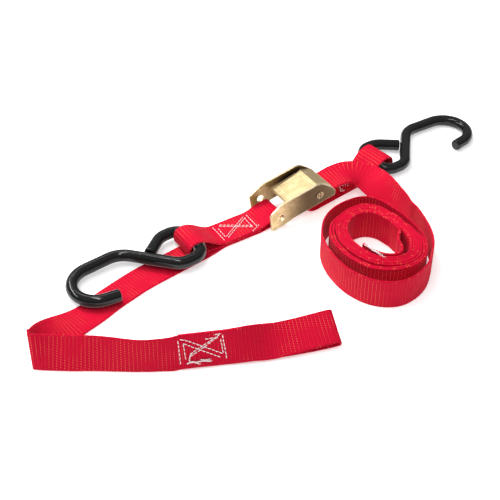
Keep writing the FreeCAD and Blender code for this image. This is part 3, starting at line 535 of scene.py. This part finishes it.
def webbing_material():
    g = Nodes("red_webbing_cloth")
    uvn = g.tree.nodes.new("ShaderNodeUVMap")
    uvn.uv_map = "band"
    sep = g.tree.nodes.new("ShaderNodeSeparateXYZ")
    g.link(uvn.outputs[0], sep.inputs[0])
    u, v = sep.outputs[0], sep.outputs[1]
    obj = g.coords("Object")
    tau = 2 * math.pi
    rib = g.math("COSINE", g.math("MULTIPLY", v, tau / RIB))
    yarn = g.math("COSINE", g.math("MULTIPLY_ADD", u, tau / 0.92, g.math("MULTIPLY", g.math("COSINE", g.math("MULTIPLY", v, tau / (2 * RIB))), 1.2)))
    weave = g.math("MULTIPLY_ADD", yarn, 0.35, rib)
    big = g.noise(obj, 34.0, 2.0)
    fine = g.noise(obj, 900.0, 2.0)
    # painted shade: the rib valleys are darkened towards a deep red where shade falls between the ribs
    rib_valley_shade = g.ramp(rib, -0.1, -1.0)
    red = g.mix(g.math("MULTIPLY", rib_valley_shade, 0.55), (0.600, 0.0020, 0.029, 1), (0.27, 0.0018, 0.014, 1))
    red = g.mix(g.ramp(big, 0.35, 0.7, 0.0, 0.22), red, (0.48, 0.0018, 0.025, 1))
    # pale specks where the binder shows, in lines across every second rib
    row = g.math("MULTIPLY", v, tau / (2 * RIB))
    line = g.ramp(g.math("COSINE", row), 0.72, 0.97)
    stagger = g.math("MULTIPLY", g.math("FLOOR", g.math("MULTIPLY_ADD", v, 1 / (2 * RIB), 0.5)), 2.1)
    dash = g.ramp(g.math("COSINE", g.math("MULTIPLY_ADD", u, tau / 1.75, stagger)), 0.05, 0.75)
    patch = g.ramp(g.noise(obj, 55.0, 1.0), 0.40, 0.62)
    inside = g.math("MULTIPLY", g.ramp(u, 0.9, 1.6), g.ramp(u, 24.5, 23.8))
    spot = g.math("MULTIPLY", g.math("MULTIPLY", line, dash), g.math("MULTIPLY_ADD", patch, 0.80, 0.12))
    spot = g.math("MULTIPLY", spot, inside)
    # specks along the woven edges
    edge = g.math("SUBTRACT", 1.0, inside)
    espot = g.math("MULTIPLY", g.ramp(g.math("COSINE", g.math("MULTIPLY", v, tau / 2.1)), 0.70, 0.95),
                   g.ramp(g.noise(obj, 330.0, 0.0), 0.62, 0.68))
    spot = g.math("ADD", spot, g.math("MULTIPLY", g.math("MULTIPLY", espot, edge), 0.7), clamp=True)
    col = g.mix(g.math("MULTIPLY", spot, 0.82), red, (0.82, 0.21, 0.09, 1))
    g.set(Base_Color=col, Roughness=g.ramp(fine, 0.3, 0.7, 0.62, 0.80))
    g.set(Specular_IOR_Level=0.10)
    h = g.math("MULTIPLY_ADD", fine, 0.5, weave)
    g.set(Normal=g.bump(h, 0.00014, 0.7))
    return g.mat


def thread_material():
    g = Nodes("white_sewing_thread")
    obj = g.coords("Object")
    f = g.noise(obj, 2600.0, 2.0)
    g.set(Base_Color=g.mix(f, (0.93, 0.90, 0.90, 1), (0.72, 0.66, 0.66, 1)), Roughness=0.6, Specular_IOR_Level=0.25)
    g.set(Normal=g.bump(f, 0.00012, 0.5))
    return g.mat


def gold_material(name="yellow_zinc", grain=(1.0, 1.0, 1.0), rough=0.26, tone=1.0, grain_amt=0.35, shade=None, bevel=0.0007):
    g = Nodes(name)
    obj = g.coords("Object")
    mp = g.tree.nodes.new("ShaderNodeMapping")
    mp.inputs["Scale"].default_value = grain
    g.link(obj, mp.inputs["Vector"])
    brushed = g.noise(mp.outputs[0], 260.0, 4.0, 0.6)
    cloud = g.noise(obj, 90.0, 3.0)
    fine = g.noise(obj, 1500.0, 2.0)
    col = g.mix(g.ramp(cloud, 0.3, 0.72), (0.86 * tone, 0.67 * tone, 0.37 * tone, 1), (0.66 * tone, 0.48 * tone, 0.24 * tone, 1))
    col = g.mix(g.ramp(brushed, 0.35, 0.75, 0.0, 0.45), col, (0.36 * tone, 0.26 * tone, 0.12 * tone, 1))
    geo = g.tree.nodes.new("ShaderNodeNewGeometry")
    sep = g.tree.nodes.new("ShaderNodeSeparateXYZ")
    g.link(geo.outputs["Normal"], sep.inputs[0])
    if shade is not None:
        # painted shade: the outer side plates are darkened towards the cam end, where they lie in shade
        pos = g.tree.nodes.new("ShaderNodeSeparateXYZ")
        g.link(obj, pos.inputs[0])
        along = g.ramp(pos.outputs[0], shade[0], shade[1])
        side = g.ramp(g.math("ABSOLUTE", sep.outputs[1]), 0.6, 0.95)
        col = g.mix(g.math("MULTIPLY", g.math("MULTIPLY", along, side), 0.94), col, (0.085, 0.056, 0.027, 1))
    # painted highlight: edges picked out by the Bevel node are lightened towards pale cream
    bv = g.tree.nodes.new("ShaderNodeBevel")
    bv.samples = 6
    bv.inputs["Radius"].default_value = bevel
    dt = g.tree.nodes.new("ShaderNodeVectorMath")
    dt.operation = "DOT_PRODUCT"
    g.link(bv.outputs[0], dt.inputs[0])
    g.link(geo.outputs["Normal"], dt.inputs[1])
    edge_highlight = g.ramp(dt.outputs["Value"], 0.995, 0.90)
    col = g.mix(g.math("MULTIPLY", edge_highlight, 0.85), col, (0.95, 0.86, 0.66, 1))
    g.set(Metallic=0.92, Base_Color=col)
    r = g.math("MULTIPLY_ADD", brushed, 0.16, rough)
    g.set(Roughness=g.math("MULTIPLY_ADD", fine, 0.06, r))
    g.set(Normal=g.bump(g.math("MULTIPLY_ADD", fine, 0.25, brushed), 0.00008, grain_amt))
    return g.mat


def vinyl_material():
    g = Nodes("black_dipped_vinyl")
    obj = g.coords("Object")
    peel = g.noise(obj, 240.0, 2.0)
    smear = g.noise(obj, 45.0, 2.0)
    g.set(Base_Color=g.mix(smear, (0.0030, 0.0031, 0.0034, 1), (0.006, 0.006, 0.0064, 1)))
    g.set(Roughness=g.ramp(smear, 0.3, 0.75, 0.10, 0.19), Specular_IOR_Level=0.34)
    g.set(Normal=g.bump(peel, 0.00020, 0.32))
    return g.mat


def steel_material():
    g = Nodes("spring_wire_steel")
    obj = g.coords("Object")
    f = g.noise(obj, 700.0, 3.0)
    g.set(Metallic=1.0, Base_Color=g.mix(f, (0.42, 0.40, 0.37, 1), (0.24, 0.22, 0.20, 1)), Roughness=g.math("MULTIPLY_ADD", f, 0.15, 0.25))
    g.set(Normal=g.bump(f, 0.00004, 0.4))
    return g.mat


M_WEB = webbing_material()
M_THREAD = thread_material()
M_VINYL = vinyl_material()
M_GOLD = gold_material("yellow_zinc_stamped", (1.0, 1.0, 1.0), 0.27, 1.0, 0.35, (-0.004, 0.032), 0.0011)
M_LEVER = gold_material("yellow_zinc_brushed", (0.12, 1.6, 1.0), 0.30, 0.98, 0.8)
M_PIN = gold_material("yellow_zinc_pin", (1.0, 1.0, 1.0), 0.22, 1.15, 0.4, None, 0.0012)
M_STEEL = steel_material()


def stake_star(mat, x0, z0):
    # the star-shaped staking in the pin's head: bright lands between punched grooves, with painted shade as dark colour
    # in the grooves, the centre and a thin ring round them
    nt = mat.node_tree
    def m(op, *args):
        nd = nt.nodes.new("ShaderNodeMath")
        nd.operation = op
        for i, a_ in enumerate(args):
            if isinstance(a_, (int, float)):
                nd.inputs[i].default_value = a_
            else:
                nt.links.new(a_, nd.inputs[i])
        return nd.outputs[0]
    bs = next(n_ for n_ in nt.nodes if n_.type == "BSDF_PRINCIPLED")
    old = bs.inputs["Base Color"].links[0].from_socket
    tc = nt.nodes.new("ShaderNodeTexCoord")
    sp = nt.nodes.new("ShaderNodeSeparateXYZ")
    nt.links.new(tc.outputs["Object"], sp.inputs[0])
    dx, dz = m("SUBTRACT", sp.outputs[0], x0), m("SUBTRACT", sp.outputs[2], z0)
    r_ = m("SQRT", m("ADD", m("MULTIPLY", dx, dx), m("MULTIPLY", dz, dz)))
    th = m("ARCTAN2", dz, dx)
    land = m("GREATER_THAN", m("COSINE", m("MULTIPLY", th, 6.0)), 0.15)
    inner = m("LESS_THAN", r_, 0.0026)
    core = m("GREATER_THAN", r_, 0.0006)
    bright = m("MAXIMUM", m("MULTIPLY", m("MULTIPLY", land, inner), core), m("GREATER_THAN", r_, 0.00285))
    mx = nt.nodes.new("ShaderNodeMix")
    mx.data_type = "RGBA"
    nt.links.new(bright, mx.inputs[0])
    # painted shade colour of the grooves
    mx.inputs[6].default_value = (0.09, 0.06, 0.03, 1)
    nt.links.new(old, mx.inputs[7])
    nt.links.new(mx.outputs[2], bs.inputs["Base Color"])


stake_star(M_PIN, 0.0428, 0.0180)


def dress(node, mat):
    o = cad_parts[node]
    o.data.materials.clear() if False else None
    if not o.material_slots:
        o.data.materials.append(mat)
    for sl in o.material_slots:
        sl.material = mat


dress("buckle_frame", M_GOLD)
dress("cam_lever", M_LEVER)
dress("pivot_pin", M_PIN)
dress("torsion_spring", M_STEEL)
dress("hook_1_core", M_STEEL)
dress("hook_2_core", M_STEEL)

# ------------------------------------------------------------------ webbing pieces
short = band(short_keys)
long = band(long_keys)
short_obj = band_mesh("short_strap", short, M_WEB)
kc, _w = catmull(long_keys[:coil_first + 1])
coil_s = float(np.linalg.norm(np.diff(kc, axis=0), axis=1).sum())
long_obj = band_mesh("long_strap", long, M_WEB, full_from=coil_s)
ROOT = "buckle_and_straps"
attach(short_obj, ROOT)
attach(long_obj, ROOT)
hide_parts("short_strap_sewn_layers", "short_strap_anchor_bight", "short_strap_hook_bight", "short_strap_leg",
            "short_strap_roll_up", "short_strap_left_turn", "short_strap_front_run", "short_strap_loop_return")
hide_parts("long_strap_base_turn", "long_strap_gripped_run", "long_strap_load_leg", "long_strap_sewn_layers",
            "long_strap_hook_bight", "long_strap_tail", "long_strap_outer_turn", "long_strap_coil")


# ------------------------------------------------------------------ thread
def tube(points, radii, sides=8):
    p = np.array(points, float)
    n = len(p)
    t = np.gradient(p, axis=0)
    t /= np.linalg.norm(t, axis=1)[:, None] + 1e-12
    ref = vec(0, 0, 1) if abs(t[0][2]) < 0.9 else vec(1, 0, 0)
    a = unit(np.cross(t[0], ref))
    verts, faces = [], []
    for i in range(n):
        a = unit(a - t[i] * a.dot(t[i]))
        b = np.cross(t[i], a)
        for k in range(sides):
            th = 2 * math.pi * k / sides
            verts.append(p[i] + radii[i] * (a * math.cos(th) + b * math.sin(th)))
    for i in range(n - 1):
        for k in range(sides):
            k2 = (k + 1) % sides
            faces.append([i * sides + k, i * sides + k2, (i + 1) * sides + k2, (i + 1) * sides + k])
    faces.append(list(range(sides - 1, -1, -1)))
    faces.append([(n - 1) * sides + k for k in range(sides)])
    return verts, faces


class Soup:
    def __init__(self):
        self.v, self.f = [], []

    def add(self, verts, faces):
        o = len(self.v)
        self.v += [tuple(x) for x in verts]
        self.f += [[i + o for i in q] for q in faces]

    def make(self, name, material, shift=True):
        me = bpy.data.meshes.new(name)
        v = np.array(self.v, float)
        if shift:
            v = v + np.array([SX, SY, 0])
        me.from_pydata((v * 0.001).tolist(), [], self.f)
        me.polygons.foreach_set("use_smooth", np.ones(len(me.polygons), dtype=bool))
        me.materials.append(material)
        me.update()
        me.validate()
        outward(me)
        obj = bpy.data.objects.new(name, me)
        scene.collection.objects.link(obj)
        return obj


def seam(soup, frame3, a, b, pitch=2.9, duty=0.72, r=0.27, jitter=0.10):
    # one row of lock stitches from a to b in the plane's own coordinates
    o, u, w, nrm = frame3
    a, b = np.array(a, float), np.array(b, float)
    length = np.linalg.norm(b - a)
    d = (b - a) / length
    n = max(1, int(round(length / pitch)))
    step = length / n
    side = np.array([-d[1], d[0]])
    for i in range(n):
        s0 = i * step + 0.5 * (1 - duty) * step + rng.normal(0, 0.05)
        s1 = s0 + duty * step
        off0, off1 = rng.normal(0, jitter), rng.normal(0, jitter)
        pts_, rad = [], []
        for k in range(9):
            f = k / 8
            q = a + d * (s0 + (s1 - s0) * f) + side * (off0 + (off1 - off0) * f)
            hgt = -0.30 + 0.52 * math.sin(math.pi * f) ** 0.55
            pts_.append(o + u * q[0] + w * q[1] + nrm * hgt)
            rad.append(r * (0.80 + 0.25 * math.sin(math.pi * f)))
        soup.add(*tube(pts_, rad))


def loose(soup, frame3, pts2, r=0.22, strands=2, wave=0.25):
    # a cut thread tail: twisted strands that lift off the webbing
    o, u, w, nrm = frame3
    p = np.array(pts2, float)
    n = len(p)
    fine = []
    for i in range(n - 1):
        for k in range(8):
            f = k / 8
            fine.append(p[i] * (1 - f) + p[i + 1] * f)
    fine.append(p[-1])
    fine = np.array(fine)
    for _ in range(3):
        fine[1:-1] = (fine[:-2] + 2 * fine[1:-1] + fine[2:]) / 4
    m = len(fine)
    for sidx in range(strands):
        ph = 2 * math.pi * sidx / strands
        pts_, rad = [], []
        for i in range(m):
            x, y, h = fine[i]
            tw = i * 0.8 + ph
            fray = 1 + 1.6 * (i / m) ** 2
            pts_.append(o + u * (x + wave * fray * math.cos(tw)) + w * (y + wave * fray * math.sin(tw) * 0.7) + nrm * (h + 0.2 * math.sin(tw * 0.7)))
            rad.append(r * (1 - 0.35 * i / m))
        soup.add(*tube(pts_, rad, 6))


BOX1 = (vec(0, 0, 4.83), vec(1, 0, 0), vec(0, 1, 0), vec(0, 0, 1))
s = Soup()
for a, b in [((-12.2, 9.6), (-12.6, -9.9)), ((-9.2, 6.2), (-9.9, -6.6)), ((18.8, 8.6), (18.4, -8.6)), ((15.4, 5.6), (14.8, -7.8)),
             ((-7.6, 7.9), (14.8, -7.2)), ((-6.3, 9.0), (16.2, -6.2)), ((15.9, 7.8), (-9.2, -6.4)), ((17.0, 6.2), (-8.4, -8.2)),
             ((21.3, -7.6), (12.0, -12.0))]:
    seam(s, BOX1, a, b)
box1 = s.make("short_strap_stitching", M_THREAD)
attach(box1, ROOT)
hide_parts("short_strap_box_stitch")

EYE = vec(-349.6, -564.9, 538.7)


def onto_face(q):
    # the point of the sewn face that lies in line with a point of the measured plane
    p = PATCH_O + vec(0, 0, 0.2) + PATCH_U * q[0] + PATCH_W * q[1]
    d = p - EYE
    k = float((FACE_P - EYE).dot(FACE_N) / d.dot(FACE_N))
    hit = EYE + d * k - FACE_P
    return (float(hit.dot(FACE_U)), float(hit.dot(FACE_W)))


BOX2 = (FACE_P - FACE_N * 0.10, FACE_U, FACE_W, -FACE_N)
s = Soup()
for a, b in [((1.2, 23.4), (1.9, 4.4)), ((4.7, 20.6), (5.8, 7.6)), ((32.0, 23.0), (34.2, 4.0)), ((30.4, 20.0), (32.2, 8.6)),
             ((5.6, 23.2), (31.6, 8.6)), ((4.8, 20.4), (30.0, 5.8)), ((28.6, 21.8), (9.2, 9.6)), ((30.2, 23.4), (8.6, 11.6)),
             ((26.6, 23.9), (31.0, 23.9)), ((19.5, 21.6), (29.0, 21.4)), ((2.4, 24.0), (6.0, 22.8))]:
    # heights across the face were measured on a face 28.3 units wide
    a, b = (a[0], a[1] * 28.3 / 25.4 - 0.9), (b[0], b[1] * 28.3 / 25.4 - 0.9)
    seam(s, BOX2, onto_face(a), onto_face(b), 2.9, 0.74, 0.31)
loose(s, BOX2, [(*onto_face((x, y)), z) for x, y, z in [(10.7, 13.4, 0.5), (8.6, 10.6, 1.2), (8.1, 6.8, 0.7), (9.6, 5.2, 0.5)]], 0.26)
loose(s, BOX2, [(*onto_face((x, y)), z) for x, y, z in [(6.5, 4.4, 0.4), (9.2, 5.4, 0.8), (12.6, 4.7, 0.8), (15.8, 5.2, 0.9), (19.2, 5.0, 0.7), (22.9, 4.2, 0.9)]], 0.27, 3, 0.38)
loose(s, BOX2, [(*onto_face((x, y)), z) for x, y, z in [(9.8, 6.0, 0.8), (12.4, 4.6, 1.2), (15.2, 2.8, 0.6)]], 0.24, 2, 0.28)
loose(s, BOX2, [(*onto_face((x, y)), z) for x, y, z in [(16.0, 6.4, 0.5), (19.0, 5.6, 1.0), (22.6, 5.9, 0.6)]], 0.22)
box2 = s.make("loop_stitching", M_THREAD)
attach(box2, ROOT)
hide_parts("loop_box_stitch")

BOX3 = (vec(72, 0, 3.22), vec(ca, sa, 0), vec(-sa, ca, 0), vec(0, 0, 1))
s = Soup()
for a, b in [((33.4, 9.6), (33.4, -9.6)), ((37.0, 6.8), (37.0, -6.8)), ((59.0, 9.6), (59.0, -9.6)), ((55.4, 6.8), (55.4, -6.8)),
             ((38.2, 8.0), (54.6, -7.4)), ((36.8, 9.2), (53.2, -6.2)), ((54.8, 7.8), (38.0, -7.6)), ((56.0, 6.6), (39.4, -8.8))]:
    seam(s, BOX3, a, b)
loose(s, BOX3, [(33.8, -5.2, 0.6), (31.0, -8.4, 1.0), (30.0, -10.4, 0.8), (32.8, -11.6, 0.8)], 0.26)
TOPF = (vec(0, 0, 0), vec(1, 0, 0), vec(0, 1, 0), vec(0, 0, 1))
loose(s, TOPF, [(59.4, -92.6, 25.6), (59.9, -96.0, 26.2), (60.6, -100.4, 26.0), (61.6, -105.6, 26.3), (63.4, -112.6, 25.8)], 0.24, 2, 0.5)
loose(s, TOPF, [(61.2, -95.2, 25.6), (60.2, -99.0, 26.4), (61.4, -102.8, 26.1), (62.0, -108.0, 26.4)], 0.22, 2, 0.4)
loose(s, TOPF, [(59.6, -101.6, 25.9), (61.6, -103.8, 26.5), (61.0, -106.8, 26.1)], 0.22, 1, 0.3)
box3 = s.make("long_strap_stitching", M_THREAD)
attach(box3, ROOT)
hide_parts("long_strap_box_stitch")


# ------------------------------------------------------------------ hooks
def hook_path(step=1.0):
    pos = vec(77.7, -22.2)
    heading = 8.0
    out = [pos.copy()]

    def line(length):
        nonlocal pos
        d = vec(math.cos(math.radians(heading)), math.sin(math.radians(heading)))
        n = max(1, int(length / step))
        for k in range(1, n + 1):
            out.append(pos + d * length * k / n)
        pos = out[-1].copy()

    def arc(radius, turn):
        nonlocal pos, heading
        side = 1 if turn > 0 else -1
        left = vec(-math.sin(math.radians(heading)), math.cos(math.radians(heading))) * side
        cpt = pos + left * radius
        b0 = math.atan2(pos[1] - cpt[1], pos[0] - cpt[0])
        n = max(4, int(abs(math.radians(turn)) * radius / step))
        for k in range(1, n + 1):
            b = b0 + math.radians(turn) * k / n
            out.append(cpt + radius * vec(math.cos(b), math.sin(b)))
        pos = out[-1].copy()
        heading += turn

    line(11.0)
    arc(19.3, 169.0)
    line(20.5)
    arc(20.0, 51.0)
    s48, c48 = math.sin(math.radians(48)), math.cos(math.radians(48))
    shank = pos.copy()
    line((pos[1] - (-18.49 + 14.0 * (1 - c48))) / s48)
    arc(14.0, -48.0)
    line(pos[0] - 12.4)
    arc(10.8, -66.4218)
    arc(30.0, -47.1564)
    arc(10.8, -66.4218)
    line(3.0)
    arc(16.0, -38.0)
    d = vec(math.cos(math.radians(heading)), math.sin(math.radians(heading)))
    nrm = vec(-s48, c48)
    line(((pos - shank).dot(nrm) - 5.15) / -d.dot(nrm))
    return np.array(out)


def hook_mesh(name, matrix, seed):
    p = hook_path()
    seg = np.linalg.norm(np.diff(p, axis=0), axis=1)
    s_ = np.concatenate([[0], np.cumsum(seg)])
    total = s_[-1]
    # end caps: rounded shoulder, slightly domed face
    R = 4.8
    rf = 1.5
    prof = [(0.0, 0.02), (0.0, 1.6), (0.03, 2.7)]
    for k in range(0, 7):
        a = math.pi / 2 * k / 6
        prof.append((0.05 + rf * (1 - math.cos(a)), R - rf + rf * math.sin(a)))
    lead = [(d, r) for d, r in prof]
    ss = [d for d, r in lead] + [x for x in s_ if 1.8 < x < total - 1.8] + [total - d for d, r in lead[::-1]]
    rr_ = [r for d, r in lead] + [None] * sum(1 for x in s_ if 1.8 < x < total - 1.8) + [r for d, r in lead[::-1]]
    g = np.random.default_rng(seed)
    ph = g.uniform(0, 6.28, 6)
    verts, faces = [], []
    sides = 36
    n = len(ss)
    for i, x in enumerate(ss):
        px_ = np.interp(x, s_, p[:, 0])
        py_ = np.interp(x, s_, p[:, 1])
        e = 0.6
        tx = np.interp(x + e, s_, p[:, 0]) - np.interp(x - e, s_, p[:, 0])
        ty = np.interp(x + e, s_, p[:, 1]) - np.interp(x - e, s_, p[:, 1])
        t = unit(vec(tx, ty))
        side = vec(-t[1], t[0])
        r = rr_[i] if rr_[i] is not None else R
        for k in range(sides):
            th = 2 * math.pi * k / sides
            # the dipped coat is a little uneven
            un = 0.035 * math.sin(x / 9.0 + ph[0] + th) + 0.025 * math.sin(x / 4.1 + 2 * th + ph[1]) + 0.02 * math.sin(x / 23.0 + 3 * th + ph[2])
            rad = min(r, r - 0.05 + un * (r / R))
            verts.append((px_ + side[0] * rad * math.cos(th), py_ + side[1] * rad * math.cos(th), rad * math.sin(th)))
    for i in range(n - 1):
        for k in range(sides):
            k2 = (k + 1) % sides
            faces.append([i * sides + k, i * sides + k2, (i + 1) * sides + k2, (i + 1) * sides + k])
    faces.append(list(range(sides - 1, -1, -1)))
    faces.append([(n - 1) * sides + k for k in range(sides)])
    me = bpy.data.meshes.new(name)
    me.from_pydata([tuple(matrix @ Vector(v) * 0.001) for v in verts], [], faces)
    me.polygons.foreach_set("use_smooth", np.ones(len(me.polygons), dtype=bool))
    me.materials.append(M_VINYL)
    me.update()
    me.validate()
    outward(me)
    obj = bpy.data.objects.new(name, me)
    scene.collection.objects.link(obj)
    return obj


def rot(axis, deg):
    return Matrix.Rotation(math.radians(deg), 4, axis)


m1 = Matrix.Translation((-34.0 + SX, 0.2 + SY, 8.1)) @ rot("Z", 1.0) @ rot("Y", -0.88) @ rot("Y", 180)
m2 = Matrix.Translation((147.0 + SX, 10.6 + SY, 6.6)) @ rot("Z", 2.0) @ rot("Y", 0.95)
hook1 = hook_mesh("hook_1_vinyl", m1, 3)
hook2 = hook_mesh("hook_2_vinyl", m2, 5)
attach(hook1, "hook_1")
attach(hook2, "hook_2")
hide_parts("hook_1_coating")
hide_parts("hook_2_coating")

# ------------------------------------------------------------------ floor, world, lights
bpy.ops.mesh.primitive_grid_add(x_subdivisions=4, y_subdivisions=4, size=8.0, location=(0, 0, 0))
floor = bpy.context.object
floor.name = "floor"
g = Nodes("floor_white")
fn = g.noise(g.coords("Object"), 3.0, 2.0)
g.set(Base_Color=g.mix(fn, (0.90, 0.90, 0.90, 1), (0.92, 0.92, 0.92, 1)), Roughness=0.9, Specular_IOR_Level=0.1)
g.set(Emission_Color=(1, 1, 1, 1), Emission_Strength=0.42)
floor.data.materials.append(g.mat)

world = bpy.data.worlds.new("studio")
scene.world = world
world.use_nodes = True
wt = world.node_tree
wt.nodes.clear()
wo = wt.nodes.new("ShaderNodeOutputWorld")
bg = wt.nodes.new("ShaderNodeBackground")
tc = wt.nodes.new("ShaderNodeTexCoord")
sp = wt.nodes.new("ShaderNodeSeparateXYZ")
cr = wt.nodes.new("ShaderNodeValToRGB")
wt.links.new(tc.outputs["Generated"], sp.inputs[0])
wt.links.new(sp.outputs["Z"], cr.inputs[0])
cr.color_ramp.elements[0].position = 0.0
cr.color_ramp.elements[0].color = (0.30, 0.30, 0.31, 1)
cr.color_ramp.elements[1].position = 0.75
cr.color_ramp.elements[1].color = (1.0, 1.0, 1.0, 1)
e = cr.color_ramp.elements.new(0.35)
e.color = (0.62, 0.62, 0.63, 1)
wt.links.new(cr.outputs[0], bg.inputs["Color"])
bg.inputs["Strength"].default_value = 0.52
wt.links.new(bg.outputs[0], wo.inputs["Surface"])


def area(name, eye, target, size, power, colour=(1, 1, 1)):
    d = bpy.data.lights.new(name, "AREA")
    d.shape = "RECTANGLE"
    d.size, d.size_y = size
    d.energy = power
    d.color = colour
    o = bpy.data.objects.new(name, d)
    scene.collection.objects.link(o)
    look(o, eye, target)
    return o


key = area("key", (-0.10, 0.90, 1.25), (0.0, 0.0, 0.0), (0.30, 0.30), 18.0)
key.visible_glossy = False
area("strip_back", (-0.55, 0.75, 0.75), (-0.02, 0.0, 0.0), (1.3, 0.035), 7.0)
area("strip_top", (-0.25, 0.05, 1.35), (-0.02, 0.0, 0.0), (1.1, 0.035), 7.0)
card = area("card_pad", (0.14, 0.86, 1.02), (0.0, 0.03, 0.02), (0.50, 0.16), 1.5, (1.0, 0.98, 0.95))
card.visible_diffuse = False
fill = area("fill", (-0.5, -1.2, 0.9), (0.0, 0.0, 0.0), (0.9, 0.5), 3.0)
fill.visible_glossy = False
for strap in (short_obj, long_obj):
    strap.visible_glossy = False
